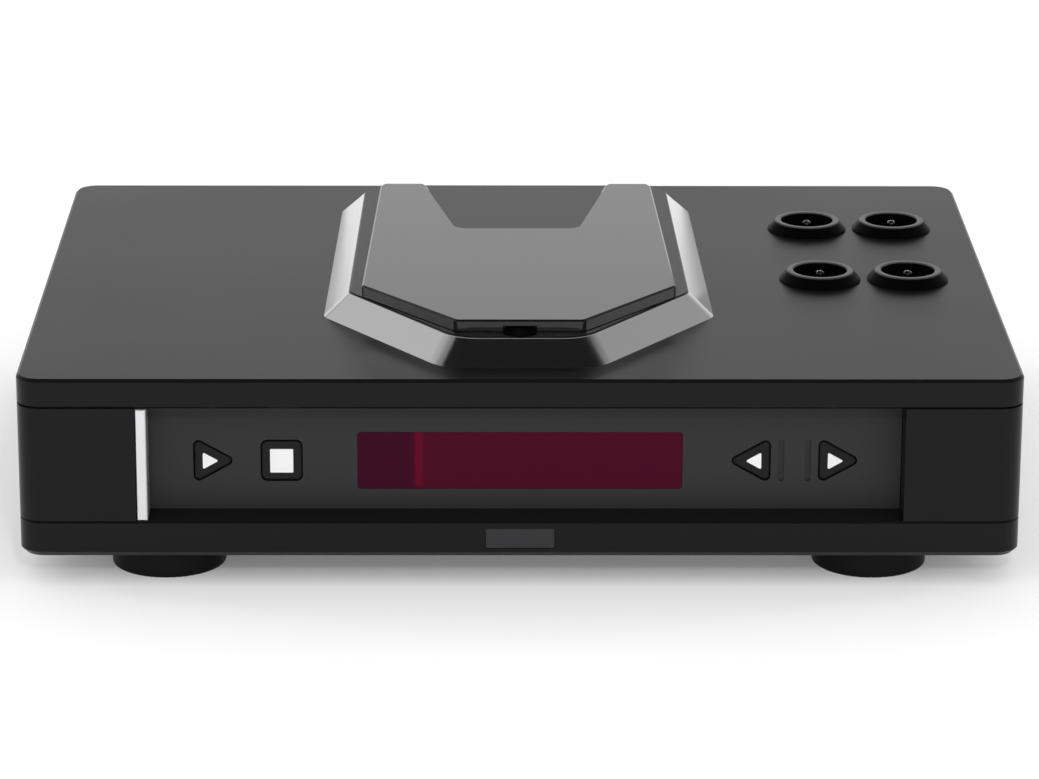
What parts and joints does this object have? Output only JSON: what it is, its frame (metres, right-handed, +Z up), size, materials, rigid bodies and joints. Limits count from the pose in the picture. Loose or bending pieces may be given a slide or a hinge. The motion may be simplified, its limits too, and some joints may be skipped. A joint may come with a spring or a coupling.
{
  "type": "valve disc player",
  "caption": "Low full-width top-loading disc player with a hinged angular lid on a faceted surround, valves in flared rings, a recessed fascia with keys and a window, and round feet.",
  "frame": {"origin": "on the surface the feet stand on, under the middle of the outline, rear sockets included", "axes": "+X to the right seen from the front, +Y to the rear, +Z up"},
  "size_m": [0.433, 0.328, 0.1098],
  "materials": {
    "casing": "satin black",
    "surround": "satin black",
    "fascia": "satin black",
    "rear_steel": "satin black",
    "badge": "satin, bare",
    "window": "polished deep red",
    "feet": "satin black",
    "steel": "bright",
    "silver": "satin silver",
    "switch_housing": "moulded",
    "key": "gloss black",
    "symbol": "white inlay",
    "board": "solder mask",
    "module": "moulded",
    "lid": "gloss black",
    "rubber": "soft",
    "clamp": "moulded",
    "well": "fine grain",
    "hub": "turned",
    "motor": "bright",
    "plate": "plain",
    "sled": "moulded",
    "lens": "clear",
    "pinion": "cut",
    "gear": "moulded",
    "ring": "polished black",
    "tube_glass": "clear",
    "tube_base": "pressed glass",
    "anode": "matt grey",
    "ceramic": "glazed",
    "chip": "moulded",
    "capacitor": "sleeved",
    "transformer": "taped",
    "inlet": "moulded",
    "gold": "plated",
    "insulator": "moulded"
  },
  "bodies": {
    "chassis": {"base_tray": "casing", "left_side_block": "casing", "right_side_block": "casing", "top_cover": "casing", "rear_panel": "rear_steel", "disc_surround": "surround", "fascia_panel": "fascia", "badge_plate": "badge", "display_window": "window", "feet": "feet", "foot_screws": "steel", "tie_bolts": "steel", "power_switch": "switch_housing", "key_switches": "switch_housing", "control_board": "board", "display_module": "module", "lid_bumpers": "rubber", "disc_well": "well", "spindle_motor": "motor", "transport_plate": "plate", "transport_dampers": "rubber", "guide_rods": "steel", "rod_clamps": "sled", "sled_motor": "motor", "tube_rings": "ring", "tube_glass_1": "tube_glass", "tube_glass_2": "tube_glass", "tube_glass_3": "tube_glass", "tube_glass_4": "tube_glass", "tube_bases": "tube_base", "tube_plates": "anode", "tube_sockets": "ceramic", "tube_board": "board", "main_board": "board", "board_chips": "chip", "filter_capacitors": "capacitor", "mains_transformer": "transformer", "transformer_clamp": "steel", "mains_inlet": "inlet", "phono_sleeves": "gold", "phono_cores": "insulator", "balanced_sockets": "inlet"},
    "lid": {"lid": "lid", "hinge_pins": "steel", "clamp_retainer": "clamp"},
    "clamp": {"disc_clamp": "clamp"},
    "hub": {"spindle_hub": "hub"},
    "sled": {"laser_sled": "sled", "laser_lens": "lens"},
    "drive_gear": {"drive_gear": "gear"},
    "motor_pinion": {"motor_pinion": "pinion"},
    "power_bar": {"power_bar": "silver"},
    "play_key": {"play_key": "key", "play_symbol": "symbol"},
    "stop_key": {"stop_key": "key", "stop_symbol": "symbol"},
    "previous_key": {"previous_key": "key", "previous_symbol": "symbol"},
    "next_key": {"next_key": "key", "next_symbol": "symbol"}
  },
  "joints": [
    {"name": "lid_hinge", "type": "hinge", "parent": "chassis", "child": "lid", "pos_m": [0, 0.0985, 0.1047], "axis": [-1, 0, 0], "range_deg": [0, 75]},
    {"name": "clamp_spin", "type": "hinge", "parent": "lid", "child": "clamp", "pos_m": [0, -0.052, 0.1047], "axis": [0, 0, 1], "continuous": true},
    {"name": "hub_spin", "type": "hinge", "parent": "chassis", "child": "hub", "pos_m": [0, -0.052, 0.0938], "axis": [0, 0, 1], "continuous": true},
    {"name": "sled_slide", "type": "slide", "parent": "chassis", "child": "sled", "axis": [1, 0, 0], "range_m": [0, 0.035]},
    {"name": "drive_gear_spin", "type": "hinge", "parent": "chassis", "child": "drive_gear", "pos_m": [0.048, -0.0247, 0.0801], "axis": [0, 0, 1], "range_deg": [0, 417.8]},
    {"name": "motor_pinion_spin", "type": "hinge", "parent": "chassis", "child": "motor_pinion", "pos_m": [0.048, -0.0126, 0.0801], "axis": [0, 0, 1], "range_deg": [-1260, 0]},
    {"name": "play_press", "type": "slide", "parent": "chassis", "child": "play_key", "axis": [0, 1, 0], "range_m": [0, 0.0012], "stiffness_N_per_m": 1250},
    {"name": "stop_press", "type": "slide", "parent": "chassis", "child": "stop_key", "axis": [0, 1, 0], "range_m": [0, 0.0012], "stiffness_N_per_m": 1250},
    {"name": "previous_press", "type": "slide", "parent": "chassis", "child": "previous_key", "axis": [0, 1, 0], "range_m": [0, 0.0012], "stiffness_N_per_m": 1250},
    {"name": "next_press", "type": "slide", "parent": "chassis", "child": "next_key", "axis": [0, 1, 0], "range_m": [0, 0.0012], "stiffness_N_per_m": 1250},
    {"name": "power_press", "type": "slide", "parent": "chassis", "child": "power_bar", "axis": [0, 1, 0], "range_m": [0, 0.0025], "stiffness_N_per_m": 800}
  ],
  "couplings": [
    {"joint": "drive_gear_spin", "follows": "sled_slide", "rad_per_m": 208.33},
    {"joint": "motor_pinion_spin", "follows": "sled_slide", "rad_per_m": -625}
  ]
}
